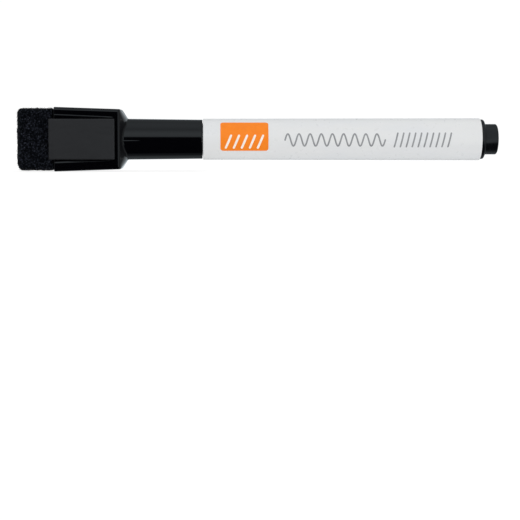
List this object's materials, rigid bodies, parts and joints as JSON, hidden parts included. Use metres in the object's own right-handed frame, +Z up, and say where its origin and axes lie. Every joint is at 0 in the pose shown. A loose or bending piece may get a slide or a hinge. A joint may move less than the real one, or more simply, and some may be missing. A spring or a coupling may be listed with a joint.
{
  "type": "felt tip marker",
  "caption": "Slim dry-wipe marker lying on its side, with a pull-off cap whose box-shaped head carries a felt eraser and a flat magnet.",
  "frame": {"origin": "centre of the marker's footprint, on the surface that the lower edge of the cap's head rests on; the barrel's axis is 8.6 mm above it", "axes": "+X along the barrel from the eraser to the rear plug, -Y the way the magnet faces, +Z up"},
  "size_m": [0.13, 0.0155, 0.0172],
  "materials": {
    "barrel_plastic": "gloss",
    "holder_plastic": "satin",
    "nib_fibre": "matte",
    "ink_fibre": "matte",
    "wrap_film": "gloss",
    "black_plastic": "gloss",
    "liner_plastic": "satin",
    "eraser_felt": "matte",
    "magnet_rubber": "satin",
    "tape_foam": "matte"
  },
  "bodies": {
    "barrel": {"barrel": "barrel_plastic", "nib_holder": "holder_plastic", "nib": "nib_fibre", "ink_reservoir": "ink_fibre", "reservoir_wrap": "wrap_film", "rear_plug": "black_plastic"},
    "cap_liner": {"inner_cap": "liner_plastic"},
    "cap": {"cap_shell": "black_plastic", "eraser_felt": "eraser_felt", "magnet": "magnet_rubber", "magnet_tape": "tape_foam"}
  },
  "joints": [
    {"name": "cap_pull", "type": "slide", "parent": "barrel", "child": "cap_liner", "axis": [-1, 0, 0], "range_m": [0, 0.04]},
    {"name": "cap_turn", "type": "hinge", "parent": "cap_liner", "child": "cap", "pos_m": [-0.0353, 0, 0.0086], "axis": [1, 0, 0], "continuous": true}
  ]
}
